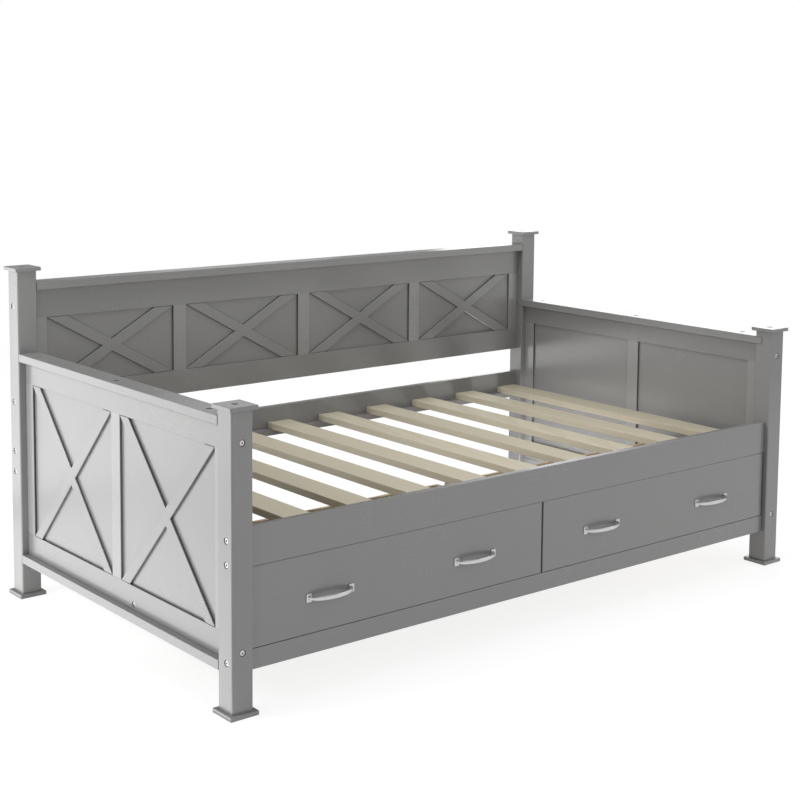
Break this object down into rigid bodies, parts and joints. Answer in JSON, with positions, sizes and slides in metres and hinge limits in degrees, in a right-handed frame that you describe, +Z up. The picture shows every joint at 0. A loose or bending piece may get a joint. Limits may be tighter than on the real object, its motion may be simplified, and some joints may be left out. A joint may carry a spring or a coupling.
{
  "type": "storage daybed",
  "caption": "Twin-size painted wooden daybed with X-panelled back and sides, square capped posts, a slatted deck and storage drawers with bow handles under its front.",
  "frame": {"origin": "on the floor, below the centre of the bed's overall outline with both drawers shut", "axes": "+X along the bed from the left side to the right side as seen from the front, +Y from the drawer fronts to the back panel, +Z up"},
  "size_m": [2.04, 1.1659, 0.949],
  "materials": {
    "grey_paint": "solid grey satin paint over wood and board",
    "pale_wood": "bare planed softwood and plywood",
    "bright_nickel": "bright satin nickel plate"
  },
  "bodies": {
    "frame": {"post_front_left": "grey_paint", "cap_front_left": "grey_paint", "foot_front_left": "grey_paint", "post_front_right": "grey_paint", "cap_front_right": "grey_paint", "foot_front_right": "grey_paint", "post_back_left": "grey_paint", "cap_back_left": "grey_paint", "foot_back_left": "grey_paint", "post_back_right": "grey_paint", "cap_back_right": "grey_paint", "foot_back_right": "grey_paint", "left_side_frame": "grey_paint", "left_side_panel": "grey_paint", "left_side_cross_1": "grey_paint", "left_side_cross_2": "grey_paint", "left_side_base": "grey_paint", "left_side_cap": "grey_paint", "right_side_frame": "grey_paint", "right_side_panel": "grey_paint", "right_side_cross_1": "grey_paint", "right_side_cross_2": "grey_paint", "right_side_base": "grey_paint", "right_side_cap": "grey_paint", "back_frame": "grey_paint", "back_panel": "grey_paint", "back_cross_1": "grey_paint", "back_cross_2": "grey_paint", "back_cross_3": "grey_paint", "back_cross_4": "grey_paint", "back_cap": "grey_paint", "back_rail": "grey_paint", "back_ledger": "grey_paint", "front_rail": "grey_paint", "front_ledger": "pale_wood", "front_base_rail": "grey_paint", "drawer_beam": "pale_wood", "runner_left": "pale_wood", "runner_centre": "pale_wood", "runner_right": "pale_wood", "slat_01": "pale_wood", "slat_02": "pale_wood", "slat_03": "pale_wood", "slat_04": "pale_wood", "slat_05": "pale_wood", "slat_06": "pale_wood", "slat_07": "pale_wood", "slat_08": "pale_wood", "slat_09": "pale_wood", "slat_10": "pale_wood"},
    "left_drawer": {"left_drawer_front": "grey_paint", "left_drawer_walls": "pale_wood", "left_drawer_bottom": "pale_wood", "left_drawer_handle_1": "bright_nickel", "left_drawer_handle_2": "bright_nickel"},
    "right_drawer": {"right_drawer_front": "grey_paint", "right_drawer_walls": "pale_wood", "right_drawer_bottom": "pale_wood", "right_drawer_handle_1": "bright_nickel", "right_drawer_handle_2": "bright_nickel"}
  },
  "joints": [
    {"name": "left_drawer_slide", "type": "slide", "parent": "frame", "child": "left_drawer", "axis": [0, -1, 0], "range_m": [0, 0.3]},
    {"name": "right_drawer_slide", "type": "slide", "parent": "frame", "child": "right_drawer", "axis": [0, -1, 0], "range_m": [0, 0.3]}
  ]
}
